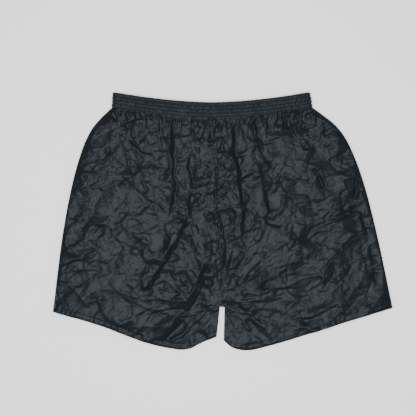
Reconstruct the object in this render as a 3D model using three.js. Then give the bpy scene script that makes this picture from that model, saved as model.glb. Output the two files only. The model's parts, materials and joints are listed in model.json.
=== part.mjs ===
// Boxing shorts with a covered elastic waistband, laid flat with the front up.
// Millimetres, +Z up, +X to the right as one looks at the front, +Y towards the waistband.
// The two halves meet on the centre seams and fold together about the fold line above them.
import * as THREE from "three";

// ---- Driving dimensions: the cut and the lay --------------------------------------------

const waistWidth = 370; // across the foot of the relaxed waistband
const waistTopWidth = 364; // across its top edge
const waistDip = 19; // how far the middle of the waistband lies below its ends
const dipPower = 1.7; // how late the waistband starts to rise from its middle
const yokeWidth = 462; // across the cloth just below the waistband
const yokeDrop = 44;
const hipWidth = 525;
const hipDrop = 118;
const thighWidth = 578;
const thighDrop = 229;
const hemWidth = 627; // from one outer hem corner to the other
const hipShift = 4; // how far the lay is rolled to the right between yoke and thigh
const rise = 347; // waistband to crotch along the centre seam
const lean = 18; // how far the crotch lies to the right of the waistband's middle
const crotchGap = { left: 5, right: 4 }; // from the fold line to each inseam at the crotch
const legGap = { left: 14, right: -1 }; // from the fold line to each inseam at the hem
const inseamLength = { left: 57, right: 64 }; // crotch to hem, straight down
const hemSag = { left: 23, right: 18 }; // hem's lowest point below the inseam's end
const hemDrop = { left: 69, right: 78 }; // hem's lowest point below its outer corner

// ---- Driving dimensions: cloth, elastic and thread ----------------------------------------

const clothThickness = 1; // crumpled shell cloth
const layerGap = 12; // air between the back layer and the front layer
const coverThickness = 0.8; // waistband cover
const elasticThickness = 1.6;
const elasticHeight = 25;
const elasticFoot = 2.1; // cover that hangs below the elastic
const hemTurn = 15; // depth of the turned leg hem
const hemStitchInset = 9; // from the hem's edge to its stitching
const seamStand = 3; // thickness of an overlocked seam between front and back
const seamAllowance = 8; // width of the allowances behind the centre seams
const threadThickness = 0.4;
const threadWidth = 0.8;
const topstitchInset = 3; // from the centre front seam to its topstitching
const waistRowFoot = 2.4; // from the waistband's foot to the first row of stitching
const waistRowPitch = 6.5; // from row to row
const waistRowCount = 4;
const tackWidth = 6;
const tackLength = 9;
const clearance = 0.3; // between pieces that touch

// ---- Levels that follow from them ----------------------------------------------------------

const backTop = clothThickness;
const frontBottom = backTop + layerGap;
const frontTop = frontBottom + clothThickness;
const coverReach = elasticThickness / 2 + clearance + coverThickness / 2;
const bandHalf = coverReach + coverThickness / 2;
const bandHeight = elasticFoot + elasticHeight + bandHalf;
const bandBackLevel = bandHalf;
const bandFrontLevel = (frontBottom + frontTop) / 2;
const bandTurn = (bandFrontLevel - bandBackLevel) / 2;
const tackFoot = crotchGap.left - rise + clearance;
const tackHead = tackFoot + tackLength;

// ---- The plan: half widths are measured from the fold line, heights from the band's foot ----

const SIDES = { left: -1, right: 1 };

function foldX(y) {
  return (-y / rise) * lean;
}

function toPlan(side, [w, y]) {
  return new THREE.Vector2(foldX(y) + SIDES[side] * w, y);
}

function bandFootY(w) {
  return waistDip * Math.pow(Math.max(w, 0) / (waistWidth / 2), dipPower);
}

function sideCurve(side) {
  const shift = SIDES[side] * hipShift;
  return spline([
    [waistWidth / 2, waistDip - clearance],
    [yokeWidth / 2 + shift, waistDip - yokeDrop],
    [hipWidth / 2 + shift, waistDip - hipDrop],
    [thighWidth / 2 + shift / 2, waistDip - thighDrop],
    [hemWidth / 2, hemY(side, 0)],
  ]);
}

// The hem as shares of the half width and of the hem's drop, from the outer corner inwards.
const HEM_SHARES = {
  left: [[1, 0], [0.74, 0.35], [0.46, 0.83], [0.29, 1], [0.21, 0.99], [0.14, 0.84]],
  right: [[1, 0], [0.78, 0.26], [0.44, 0.68], [0.19, 0.97], [0.11, 1], [0.04, 0.92]],
};

function inseamFootY(side) {
  return -rise - inseamLength[side];
}

function hemY(side, share) {
  return inseamFootY(side) - hemSag[side] + (1 - share) * hemDrop[side];
}

function hemCurve(side) {
  const outer = HEM_SHARES[side].map(([w, d]) => [(w * hemWidth) / 2, hemY(side, d)]);
  return spline([...outer, [legGap[side], inseamFootY(side)]]);
}

function inseamCurve(side) {
  return spline([[legGap[side], inseamFootY(side)], [crotchGap[side], -rise]]);
}

function bandFootCurve() {
  const across = [0.04, 0.25, 0.5, 0.75, 1].map((share) => (share * waistWidth) / 2);
  return spline([[clearance / 2, 0], ...across.map((w) => [w, bandFootY(w)])]);
}

function spline(points) {
  return new THREE.SplineCurve(points.map(([w, y]) => new THREE.Vector2(w, y)));
}

// ---- Shape makers -----------------------------------------------------------------------------

function pairs(points) {
  return points.map((p) => [p.x, p.y]);
}

// The outline of one panel of one half, clockwise from the middle of the waistband.
function panelOutline(side) {
  const top = pairs(bandFootCurve().getSpacedPoints(8)).map(([w, y]) => [w, y - clearance]);
  const down = pairs(sideCurve(side).getSpacedPoints(16)).slice(1);
  const hem = pairs(hemCurve(side).getSpacedPoints(18)).slice(1);
  const up = pairs(inseamCurve(side).getSpacedPoints(2)).slice(1);
  return [...top, ...down, ...hem, ...up, [clearance / 2, -rise + crotchGap[side] / 2]];
}

// A strip beside a curve, between two distances inwards from it, over part of its length.
function stripOutline(curve, near, far, steps, from = 0, to = 1) {
  const rows = [near, far].map((inset) =>
    Array.from({ length: steps + 1 }, (_, i) => {
      const t = THREE.MathUtils.lerp(from, to, i / steps);
      const tangent = curve.getTangentAt(t);
      const point = curve.getPointAt(t);
      return [point.x + tangent.y * inset, point.y - tangent.x * inset];
    }),
  );
  return [...rows[0], ...rows[1].reverse()];
}

// An outline on one half of the plan, made a flat slab from one level up to another.
function slab(side, outline, bottom, top) {
  const shape = new THREE.Shape(outline.map((p) => toPlan(side, p)));
  const geometry = new THREE.ExtrudeGeometry(shape, { depth: top - bottom, bevelEnabled: false });
  return geometry.translate(0, 0, bottom);
}

// ---- The waistband's path: front run, round the side, back run ------------------------------

const FRONT_STEPS = 9;
const TURN_STEPS = 6;

// Stations along half of the waistband: half width short of the side, level, and outward normal.
function bandStations({ front = true, turn = 1, back = true }) {
  const stations = [];
  const turnAt = bandTurn + bandHalf;
  const turnSteps = Math.round(TURN_STEPS * turn);
  if (front)
    for (let i = 0; i <= FRONT_STEPS; i += 1)
      stations.push({ share: i / FRONT_STEPS, out: 0, level: bandFrontLevel, nw: 0, nz: 1 });
  for (let i = front ? 1 : 0; i <= turnSteps; i += 1) {
    const angle = (Math.PI * i) / TURN_STEPS;
    const out = Math.sin(angle) * bandTurn;
    const level = bandBackLevel + bandTurn + Math.cos(angle) * bandTurn;
    stations.push({ share: 1, out, level, nw: Math.sin(angle), nz: Math.cos(angle) });
  }
  if (back)
    for (let i = 1; i <= FRONT_STEPS; i += 1)
      stations.push({ share: 1 - i / FRONT_STEPS, out: 0, level: bandBackLevel, nw: 0, nz: -1 });
  return stations.map((s) => ({ ...s, turnAt }));
}

// A point of the waistband: a station, a height above the foot and a distance outwards.
function bandPoint(side, station, height, outwards) {
  const halfWidth = THREE.MathUtils.lerp(waistWidth, waistTopWidth, height / bandHeight) / 2;
  const run = halfWidth - station.turnAt;
  const straight = THREE.MathUtils.lerp(clearance / 2, run, station.share);
  const w = straight + station.out + station.nw * outwards;
  const plan = toPlan(side, [w, bandFootY(w) + height]);
  return new THREE.Vector3(plan.x, plan.y, station.level + station.nz * outwards);
}

// A closed ring of section points carried along the stations, closed at both ends.
function sweepBand(side, stations, drawnSection) {
  const drawn = drawnSection.map(([height, outwards]) => new THREE.Vector2(outwards, height));
  const ring = THREE.ShapeUtils.isClockWise(drawn) ? drawn.reverse() : drawn;
  const section = ring.map((p) => [p.y, p.x]);
  const caps = THREE.ShapeUtils.triangulateShape(ring, []);
  const places = stations.flatMap((s) => section.map(([h, o]) => bandPoint(side, s, h, o)));
  const faces = [];
  const count = section.length;
  const last = (stations.length - 1) * count;
  for (let s = 0; s < stations.length - 1; s += 1)
    for (let k = 0; k < count; k += 1) {
      const a = s * count + k;
      const b = s * count + ((k + 1) % count);
      faces.push([a, b, b + count], [a, b + count, a + count]);
    }
  caps.forEach(([a, b, c]) => faces.push([a, c, b], [last + a, last + b, last + c]));
  return solidFrom(places, faces);
}

// Faces are turned round as one where they point inwards.
function solidFrom(places, faces) {
  const volume = faces.reduce((sum, [a, b, c]) => {
    return sum + places[a].dot(new THREE.Vector3().crossVectors(places[b], places[c]));
  }, 0);
  const index = faces.flatMap(([a, b, c]) => (volume < 0 ? [a, c, b] : [a, b, c]));
  const geometry = new THREE.BufferGeometry().setFromPoints(places);
  geometry.setIndex(index);
  geometry.computeVertexNormals();
  return geometry;
}

// The cover's section: up the outside, over the top of the elastic and down the inside.
function coverSection() {
  const crown = bandHeight - bandHalf;
  const bend = [0, 1, 2, 3, 4].map((i) => (Math.PI * i) / 4);
  const arc = (radius) => bend.map((a) => [crown + Math.sin(a) * radius, Math.cos(a) * radius]);
  const outside = arc(bandHalf);
  const inside = arc(bandHalf - coverThickness).reverse();
  const lip = bandHalf - coverThickness;
  return [[0, bandHalf], ...outside, [0, -bandHalf], [0, -lip], ...inside, [0, lip]];
}

function elasticSection() {
  const half = elasticThickness / 2;
  const top = elasticFoot + elasticHeight;
  return [[elasticFoot, -half], [elasticFoot, half], [top, half], [top, -half]];
}

function threadSection(height, face) {
  const near = face * (bandHalf + clearance);
  const far = face * (bandHalf + clearance + threadThickness);
  const low = height - threadWidth / 2;
  const high = height + threadWidth / 2;
  return [[low, near], [low, far], [high, far], [high, near]];
}

// ---- Materials -------------------------------------------------------------------------------------

const shellCloth = new THREE.MeshStandardMaterial({ color: "#343b42", roughness: 0.5 });
const hemCloth = new THREE.MeshStandardMaterial({ color: "#2c3238", roughness: 0.5 });
const coverCloth = new THREE.MeshStandardMaterial({ color: "#3b424a", roughness: 0.5 });
const elasticWebbing = new THREE.MeshStandardMaterial({ color: "#1d2023", roughness: 0.9 });
const sewingThread = new THREE.MeshStandardMaterial({ color: "#22272c", roughness: 0.8 });

// ---- The pieces ------------------------------------------------------------------------------------

const shorts = new THREE.Group();

function add(name, geometry, material) {
  const mesh = new THREE.Mesh(geometry, material);
  mesh.name = name;
  shorts.add(mesh);
}

function addPanels(side) {
  const outline = panelOutline(side);
  add(`front_panel_${side}`, slab(side, outline, frontBottom, frontTop), shellCloth);
  add(`back_panel_${side}`, slab(side, outline, 0, backTop), shellCloth);
}

// Overlocked seams stand between the back layer and the front layer.
function addSeams(side) {
  const bottom = backTop + clearance;
  const top = frontBottom - clearance;
  const down = sideCurve(side);
  const inseam = inseamCurve(side);
  const sideStrip = stripOutline(down, 0, seamStand, 16);
  const inseamStrip = stripOutline(inseam, 0, -seamStand, 2);
  add(`side_seam_${side}`, slab(side, sideStrip, bottom, top), hemCloth);
  add(`inseam_${side}`, slab(side, inseamStrip, bottom, top), hemCloth);
}

// The turned hem lies inside the panel's edge, and its stitching runs beside the turn's raw edge.
function addHem(side) {
  const hem = hemCurve(side);
  const end = (2 * seamStand) / hem.getLength();
  const turn = stripOutline(hem, clearance, hemTurn, 18, end, 1 - end);
  const half = threadWidth / 2;
  const thread = stripOutline(hem, hemStitchInset - half, hemStitchInset + half, 18, end, 1 - end);
  const frontTurnTop = frontBottom - clearance;
  const backTurnBottom = backTop + clearance;
  const backTurnTop = backTurnBottom + clothThickness;
  const over = frontTop + clearance;
  const inside = backTurnTop + clearance;
  add(`hem_turn_front_${side}`, slab(side, turn, frontTurnTop - clothThickness, frontTurnTop), hemCloth);
  add(`hem_turn_back_${side}`, slab(side, turn, backTurnBottom, backTurnTop), hemCloth);
  add(`hem_thread_front_${side}`, slab(side, thread, over, over + threadThickness), sewingThread);
  add(`hem_thread_back_${side}`, slab(side, thread, inside, inside + threadThickness), sewingThread);
}

function addWaistband(side) {
  const whole = bandStations({});
  add(`waistband_cover_${side}`, sweepBand(side, whole, coverSection()), coverCloth);
  add(`waist_elastic_${side}`, sweepBand(side, whole, elasticSection()), elasticWebbing);
  for (let row = 0; row < waistRowCount; row += 1) {
    const height = waistRowFoot + row * waistRowPitch;
    const outer = bandStations({ turn: 0.67, back: false });
    const inner = bandStations({ front: false }).slice(TURN_STEPS);
    const name = `row_${row + 1}_${side}`;
    add(`waist_thread_front_${name}`, sweepBand(side, outer, threadSection(height, 1)), sewingThread);
    add(`waist_thread_back_${name}`, sweepBand(side, inner, threadSection(height, -1)), sewingThread);
  }
}

// The centre seams' allowances are pressed to the left, so they stay with the left half.
function addCentreSeams() {
  const line = spline([[clearance / 2, -seamAllowance], [clearance / 2, tackHead + clearance]]);
  const allowance = stripOutline(line, 0, -seamAllowance, 2);
  const frontUnder = frontBottom - clearance;
  const backOver = backTop + clearance;
  const twoLayers = 1.6 * clothThickness;
  add("centre_front_seam", slab("left", allowance, frontUnder - twoLayers, frontUnder), hemCloth);
  add("centre_back_seam", slab("left", allowance, backOver, backOver + twoLayers), hemCloth);
  const half = threadWidth / 2;
  const stitch = stripOutline(line, half - topstitchInset, -half - topstitchInset, 2);
  const over = frontTop + clearance;
  add("centre_front_thread", slab("left", stitch, over, over + threadThickness), sewingThread);
}

// The dense thread tack where the four panels meet joins the front layer to the back layer.
function addCrotchTack() {
  const near = clearance / 2;
  const far = near + tackWidth;
  const outline = [[near, tackFoot], [far, tackFoot], [far, tackHead], [near, tackHead]];
  add("crotch_tack", slab("left", outline, backTop + clearance, frontBottom - clearance), sewingThread);
}

for (const side of Object.keys(SIDES)) {
  addPanels(side);
  addSeams(side);
  addHem(side);
  addWaistband(side);
}
addCentreSeams();
addCrotchTack();

// The part's origin is the middle of its footprint, on the surface that it lies on.
const box = new THREE.Box3().setFromObject(shorts);
const middle = box.getCenter(new THREE.Vector3());
shorts.position.set(-middle.x, -middle.y, -box.min.z);
const part = new THREE.Group();
part.add(shorts);

export default part;
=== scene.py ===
import json
import math
from collections import Counter

import bmesh
import bpy
import numpy as np
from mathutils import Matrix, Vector
from mathutils.geometry import delaunay_2d_cdt


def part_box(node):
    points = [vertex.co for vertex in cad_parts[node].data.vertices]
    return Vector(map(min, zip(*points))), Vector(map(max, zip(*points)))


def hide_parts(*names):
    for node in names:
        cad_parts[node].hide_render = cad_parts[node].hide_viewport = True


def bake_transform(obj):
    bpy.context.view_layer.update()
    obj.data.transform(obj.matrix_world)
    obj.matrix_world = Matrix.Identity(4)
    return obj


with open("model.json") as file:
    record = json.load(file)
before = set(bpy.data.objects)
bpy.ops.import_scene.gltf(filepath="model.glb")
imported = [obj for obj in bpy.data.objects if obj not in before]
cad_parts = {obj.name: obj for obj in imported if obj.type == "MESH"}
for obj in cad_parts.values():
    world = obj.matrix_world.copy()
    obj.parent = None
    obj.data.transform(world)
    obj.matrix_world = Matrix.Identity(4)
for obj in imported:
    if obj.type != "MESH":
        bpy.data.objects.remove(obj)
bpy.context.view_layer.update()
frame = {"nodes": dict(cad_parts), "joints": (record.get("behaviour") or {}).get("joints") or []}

# Boxing shorts in crumpled satin nylon, laid flat with the front up.
# Lengths in this script are millimetres until a mesh is made, and MM turns them to metres.
MM = 0.001
SIDES = {"left": -1, "right": 1}

# ---- Sizes of the cloth work ----

PANEL_ACROSS = 196  # faces across half a panel, about 1.5 mm each
PANEL_DOWN = 288
CROTCH_ROW = 246 / PANEL_DOWN  # the crotch falls on the same row in both halves
WAIST_HALF = 185  # along the waistband, from the centre seam to its end
CLOTH_TO_WAIST = 1.4  # cloth gathered into each length of waistband
TUCKED_IN = 3.0  # how far the shell goes up into the waistband
HEM_TURN = 15.0  # depth of the turned leg hem
HEM_STITCH_INSET = 9.0
HEM_LAYER = 0.8  # from the hem's face to its turned layer
LEAST_GAP = 2.4  # room for the seam allowances between front and back
SEAM_LEVEL = 7.5  # height at which front and back meet in the side seams
SIDE_ROLL = 9.0  # how far in from the side the cloth is still turning
INSEAM_ROLL = 9.0
BAND_HALF = 1.9  # half the waistband's thickness
BAND_TAPER = 3.0  # the waistband's top is this much narrower at each end
ROW_FOOT = 2.4
ROW_PITCH = 6.5
ROWS = 4
RIB_PITCH = 3.8  # puckers along the waistband
STITCH_PITCH = 3.0
STITCH_LENGTH = 2.3
STITCH_WIDTH = 0.55
STITCH_RISE = 0.1  # a stitch stands this far off the cloth
TACK_PITCH, TACK_WIDTH = 0.7, 6.0
ELASTIC_FOOT, ELASTIC_TOP = 3.0, 26.5  # the webbing's edges, up from the waistband's foot
ELASTIC_CORD = 2.2  # from one rubber cord of the webbing to the next
TOPSTITCH_INSET = 3.0  # from the centre seam to the row of stitching beside it


# ---- Plan: where the pieces lie, from the frame ----

joint = frame["joints"][0]
fold_at = np.array(joint["pos_m"]) / MM
fold_along = np.array(joint["axis"])
fold_across = np.array([-fold_along[1], fold_along[0], 0.0])


def fold_x(y):
    return fold_at[0] + (y - fold_at[1]) * fold_along[0] / fold_along[1]


def outline(node):
    """A slab's plan outline in order, from its lower face."""
    mesh = frame["nodes"][node].data
    co = np.array([v.co for v in mesh.vertices]) / MM
    low = co[:, 2].min() + 0.01
    places = {}
    index = [places.setdefault((round(p[0], 2), round(p[1], 2)), len(places)) for p in co]
    uses = Counter()
    for face in mesh.polygons:
        corners = list(face.vertices)
        if max(co[c][2] for c in corners) < low:
            for a, b in zip(corners, corners[1:] + corners[:1]):
                uses[frozenset((index[a], index[b]))] += 1
    beside = {}
    for edge in (e for e, count in uses.items() if count == 1):
        a, b = edge
        beside.setdefault(a, []).append(b)
        beside.setdefault(b, []).append(a)
    start = next(iter(beside))
    walk = [start, beside[start][0]]
    while walk[-1] != start:
        here = beside[walk[-1]]
        walk.append(here[0] if here[0] != walk[-2] else here[1])
    points = list(places)
    return np.array([points[i] for i in walk[:-1]])


def measured(points):
    """A line's points, the length of each step, and the length reached at each point."""
    points = np.asarray(points, float)
    steps = np.linalg.norm(np.diff(points, axis=0), axis=1)
    return points, steps, np.concatenate([[0], np.cumsum(steps)])


def smooth_curve(points):
    """A Catmull-Rom curve through the points, as a function of its share of the length."""
    points, steps, reached = measured(points)
    ends = np.vstack([2 * points[0] - points[1], points, 2 * points[-1] - points[-2]])

    def at(share):
        along = np.clip(share, 0, 1) * reached[-1]
        i = np.clip(np.searchsorted(reached, along, side="right") - 1, 0, len(steps) - 1)
        t = ((along - reached[i]) / steps[i])[..., None]
        p0, p1, p2, p3 = (ends[i + k] for k in range(4))
        return 0.5 * (
            2 * p1
            + (p2 - p0) * t
            + (2 * p0 - 5 * p1 + 4 * p2 - p3) * t**2
            + (3 * p1 - p0 - 3 * p2 + p3) * t**3
        )

    at.length = reached[-1]
    return at


def half_lay(side):
    """The four edges of one half's panels, in plan, as curves that start at the centre or the waist."""
    points = outline(f"front_panel_{side}")
    half = SIDES[side] * (points[:, 0] - fold_x(points[:, 1]))
    inseam_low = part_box(f"inseam_{side}")[0].y / MM
    near = np.flatnonzero(half < 30)
    on_fold = np.flatnonzero(half < 2)
    waist = on_fold[np.argmax(points[on_fold, 1])]
    waist_end = np.argmax(points[:, 1])
    corner = np.argmax(half)
    foot = near[np.argmin(abs(points[near, 1] - inseam_low))]
    count = len(points)
    order = list(range(waist, waist + count))
    if (waist_end - waist) % count > (corner - waist) % count:
        order = order[:1] + order[:0:-1]
    ring = [i % count for i in order]
    a, b, c = (ring.index(i) for i in (waist_end, corner, foot))
    hem = points[ring[b : c + 1]][::-1]
    inner, _, reached = measured(points[[ring[0], *ring[:c - 1 : -1]]])
    rows = np.concatenate([[0], np.linspace(CROTCH_ROW, 1, len(inner) - 1)])
    if len(inner) > 3:
        rows[1:] = CROTCH_ROW + (1 - CROTCH_ROW) * (reached[1:] - reached[1]) / (reached[-1] - reached[1])

    def inner_at(share):
        share = np.clip(share, 0, 1)
        return np.stack([np.interp(share, rows, inner[:, k]) for k in (0, 1)], -1)

    return {
        "waist": smooth_curve(points[ring[: a + 1]]),
        "side": smooth_curve(points[ring[a : b + 1]]),
        "hem": smooth_curve(hem),
        "inner": inner_at,
        "inner_points": inner,
        "foot": inner[-1],
        "inner_down": lambda share: np.interp(share, rows, reached),
        "inner_length": reached[-1],
    }


def plan_at(lay, s, t):
    """A point of the panel: s from the centre to the side, t from the waistband to the hem."""
    top, foot = lay["waist"](s), lay["hem"](s)
    inner, side = lay["inner"](t), lay["side"](t)
    s, t = s[..., None], t[..., None]
    zero, one = np.zeros(1), np.ones(1)
    corners = (
        (1 - s) * (1 - t) * lay["waist"](zero)
        + s * (1 - t) * lay["waist"](one)
        + (1 - s) * t * lay["hem"](zero)
        + s * t * lay["hem"](one)
    )
    return (1 - t) * top + t * foot + (1 - s) * inner + s * side - corners


LAYS = {side: half_lay(side) for side in SIDES}
meeting = (LAYS["left"]["inner_points"][:2] + LAYS["right"]["inner_points"][:2]) / 2
for lay in LAYS.values():
    lay["inner_points"][:2] = meeting
CROTCH = meeting[1]


# ---- Patterns that crumpled cloth is made of ----

TILE = 96  # cells each way of the crumple tile
TILE_GRAIN = 12  # samples to a cell
CREASE_SHARE = 0.16  # how much of a facet its raised or sunk edge takes up


def crumple_tile(seed):
    """Flat facets between random creases, as a crushed sheet has: heights and sharp ridges, -1 to 1."""
    rng = np.random.default_rng(seed)
    grid = np.stack(np.meshgrid(np.arange(TILE + 1), np.arange(TILE + 1)), -1).reshape(-1, 2)
    spots = np.clip(grid + rng.uniform(-0.47, 0.47, grid.shape), 0, TILE)
    heights = rng.uniform(-1, 1, len(spots))
    found = delaunay_2d_cdt([Vector(p) for p in spots], [], [], 0, 1e-6)
    corners = np.array([tuple(p) for p in found[0]])
    level = heights[[o[0] for o in found[3]]]
    side = TILE * TILE_GRAIN
    tile, ridges = np.zeros((2, side, side), np.float32)
    for triangle in found[2]:
        p, h = corners[list(triangle)] * TILE_GRAIN, level[list(triangle)]
        low = np.maximum(np.floor(p.min(0)).astype(int), 0)
        high = np.minimum(np.ceil(p.max(0)).astype(int) + 1, side)
        x, y = np.meshgrid(np.arange(low[0], high[0]), np.arange(low[1], high[1]))
        (ax, ay), (bx, by), (cx, cy) = p
        det = (by - cy) * (ax - cx) + (cx - bx) * (ay - cy)
        if abs(det) < 1e-9:
            continue
        u = ((by - cy) * (x - cx) + (cx - bx) * (y - cy)) / det
        v = ((cy - ay) * (x - cx) + (ax - cx) * (y - cy)) / det
        inside = (u >= -1e-3) & (v >= -1e-3) & (u + v <= 1 + 1e-3)
        w = 1 - u - v
        here = np.s_[low[1] : high[1], low[0] : high[0]]
        raised = u * h[0] + v * h[1] + w * h[2]
        near = np.maximum(1 - np.minimum(np.minimum(u, v), w) / CREASE_SHARE, 0)
        tile[here][inside] = raised[inside]
        ridges[here][inside] = (raised * near)[inside]
    return tile, ridges


CRUMPLE, CREASES = crumple_tile(7)


def between(grid, rows, columns, down, across):
    """A grid's value between two rows and two columns."""
    upper, lower = (grid[row, columns[0]] * (1 - across) + grid[row, columns[1]] * across for row in rows)
    return upper * (1 - down) + lower * down


def sample(tile, x, y):
    """The tile's value between its samples, mirrored past its edges."""
    side = tile.shape[0]
    x = np.abs((x + side) % (2 * side - 2) - side + 1)
    y = np.abs((y + side) % (2 * side - 2) - side + 1)
    i, j = np.minimum(x.astype(int), side - 2), np.minimum(y.astype(int), side - 2)
    return between(tile, (j, j + 1), (i, i + 1), y - j, x - i)


def facets(x, y, cell, start, edge=0.0):
    """Crumple facets about one cell across, from their own part of the tile; edge raises creases."""
    x, y = (x / cell + start) * TILE_GRAIN, (y / cell + 1.7 * start) * TILE_GRAIN
    return sample(CRUMPLE, x, y) + (edge * sample(CREASES, x, y) if edge else 0)


NOISE = np.random.default_rng(11).uniform(-1, 1, (256, 256))


def noise(x, y, cell, start=0.0):
    """Smooth noise from -1 to 1 with bumps about one cell across."""
    size = NOISE.shape[0]
    x, y = x / cell + 31.7 * start, y / cell + 17.3 * start
    i, j = np.floor(x).astype(int), np.floor(y).astype(int)
    rows, columns = (j % size, (j + 1) % size), (i % size, (i + 1) % size)
    return between(NOISE, rows, columns, smooth(y - j), smooth(x - i))


def smooth(x):
    """Rises from 0 to 1 with a level start and end."""
    x = np.clip(x, 0, 1)
    return x * x * (3 - 2 * x)


def bell(x, middle, width):
    """A round bump, 1 at its middle."""
    return np.exp(-(((x - middle) / width) ** 2))


def to_line(x, y, points):
    """Distance to a polyline, its signed side, and the share of its length at the nearest point."""
    points, steps, reached = measured(points)
    best = np.full(x.shape, 1e9)
    share, hand = np.zeros(x.shape), np.zeros(x.shape)
    for k, step in enumerate(steps):
        (ax, ay), (bx, by) = points[k], points[k + 1]
        dx, dy = (bx - ax) / step, (by - ay) / step
        along = np.clip((x - ax) * dx + (y - ay) * dy, 0, step)
        gap = np.hypot(x - ax - along * dx, y - ay - along * dy)
        nearer = gap < best
        best = np.where(nearer, gap, best)
        share = np.where(nearer, (reached[k] + along) / reached[-1], share)
        hand = np.where(nearer, np.sign(dx * (y - ay) - dy * (x - ax)), hand)
    return best, hand, share


# The folds that give this lay its character: points, half width, depth, and the height of the
# shoulder on the fold's left (+) or right (-) as one follows it. A negative depth is a ridge.
FRONT_FOLDS = [
    ([(-92, 190), (-94, 130), (-90, 75), (-96, 12)], 4.0, 6.5, 0.5),
    ([(-60, 130), (-66, 105), (-57, 65), (-63, 30), (-57, 12)], 3.5, 4.5, -0.5),
    ([(-58, 14), (-79, -21), (-103, -64), (-131, -119), (-153, -138)], 6.0, 8.0, 0.5),
    ([(-118, 190), (-116, 150), (-112, 118), (-114, 60)], 4.0, 1.8, 0.3),
    ([(22, 186), (21, 130), (32, 84), (36, 28), (37, -22), (48, -36)], 4.5, 8.5, -0.4),
    ([(54, 190), (65, 149), (80, 112), (95, 97)], 3.5, 5.5, 0.5),
    ([(65, 112), (76, 66), (80, 29), (88, 10)], 4.5, 4.5, -0.5),
    ([(-6, 186), (2, 150), (4, 118)], 3.0, 2.1, 0.3),
    ([(120, 186), (132, 160), (150, 140), (158, 138)], 3.0, 3.5, 0.4),
    ([(146, 180), (150, 158), (163, 142)], 2.5, 2.1, 0.4),
    ([(104, 88), (130, 84), (153, 73), (165, 74)], 2.0, 2.1, 0.6),
    ([(170, 102), (180, 84), (189, 60)], 2.5, 4.0, 0.4),
    ([(250, 30), (262, -16), (274, -75), (280, -128)], 4.5, 5.0, -0.4),
    ([(247, 80), (250, 55), (252, 30)], 4.0, 4.5, 0.3),
    ([(-191, 89), (-155, 52), (-126, 34), (-98, 14)], 2.2, 2.4, 0.7),
    ([(-248, 116), (-235, 89)], 2.5, -1.8, 0.0),
    ([(-170, 148), (-150, 128), (-132, 122)], 3.0, 3.5, -0.6),
    ([(-172, -60), (-143, -27)], 2.2, 2.1, 0.6),
    ([(63, -125), (92, -104), (115, -91)], 3.0, 2.2, 0.6),
    ([(118, -92), (118, -118)], 2.5, 2.1, 0.3),
    ([(40, -17), (55, 2), (70, 14)], 3.0, -2.1, 0.0),
    ([(130, -10), (141, -30)], 2.5, 2.1, 0.4),
    ([(141, -32), (139, -52), (132, -64)], 3.5, -2.1, 0.0),
    ([(150, -142), (163, -171)], 2.5, 2.1, 0.5),
    ([(152, -141), (178, -140)], 2.5, 1.8, 0.4),
    ([(148, -143), (120, -135), (90, -139)], 3.0, 1.8, 0.4),
    ([(-61, -147), (-96, -132), (-134, -122)], 3.0, 2.1, 0.5),
    ([(-61, -148), (-100, -151), (-152, -147)], 3.0, 1.8, -0.5),
    ([(-62, -146), (-84, -116), (-103, -88)], 3.0, 2.1, 0.5),
    ([(-64, -150), (-96, -166), (-127, -180)], 3.5, 2.1, -0.5),
    ([(-8, -85), (-26, -50), (-42, -22), (-50, 5)], 3.0, 2.1, 0.5),
    ([(-12, -110), (-20, -95), (-34, -80)], 3.0, 2.1, -0.4),
    ([(15, -95), (38, -72), (62, -58), (95, -40)], 3.5, 2.1, 0.5),
    ([(12, -120), (36, -98), (70, -88)], 3.0, 1.8, -0.5),
    ([(110, -10), (82, -4), (75, 6)], 2.0, 1.8, 0.4),
    ([(150, 140), (142, 132), (160, 128), (168, 136)], 2.5, -1.8, 0.0),
    ([(-300, -40), (-262, -34), (-220, -52)], 3.0, 1.5, 0.4),
    ([(-298, -64), (-255, -62), (-205, -80)], 3.0, 1.5, 0.4),
    ([(-290, 6), (-250, 0), (-215, -14)], 3.0, 1.5, 0.4),
    ([(-250, -185), (-238, -160), (-240, -145)], 2.5, 1.5, 0.4),
    ([(-30, -70), (-40, -112), (-60, -150), (-84, -186), (-116, -222)], 8.0, 9.0, -0.5),
    ([(2, -140), (30, -158), (54, -184), (94, -222)], 6.5, 6.5, 0.5),
    ([(14, -112), (30, -122), (34, -140)], 5.0, 2.4, 0.4),
]


DEEPEST = 9.0  # no named fold goes lower, so that each keeps a sharp bottom


def folds(x, y, made):
    """The named folds' height: each drops down one steep wall, from its shoulder to its foot."""
    height = np.zeros(x.shape)
    xx = x + 3.0 * noise(x, y, 21, 3) + 1.3 * noise(x, y, 7, 13)
    yy = y + 3.0 * noise(x, y, 21, 5) + 1.3 * noise(x, y, 7, 15)
    rough = np.clip(0.9 + 0.7 * noise(x, y, 14, 7), 0.25, 1.3)
    spread = 0.9 + 0.45 * noise(x, y, 18, 9)
    for points, half_width, depth, shoulder in made:
        gap, hand, share = to_line(xx, yy, points)
        ends = smooth(share / 0.14) * smooth((1 - share) / 0.14)
        depth = DEEPEST * math.tanh(depth / DEEPEST)
        wall = spread * half_width
        if shoulder:
            above = gap * hand * np.sign(shoulder)
            top, foot = 0.8 * abs(shoulder) * depth, (0.5 * abs(shoulder) - 1) * depth
            profile = foot + (top - foot) * np.clip(0.5 + 0.5 * above / wall, 0, 1)
            fading = np.where(above > 0, 2.5, 3.5) * half_width
            profile *= np.exp(-np.maximum(gap - wall, 0) / fading)
        else:
            profile = -depth * np.maximum(1 - gap / (1.5 * half_width), 0)
        steady = min(1, 3.5 / abs(depth))
        height += profile * ends * (1 + steady * (rough - 1))
    return height


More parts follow.
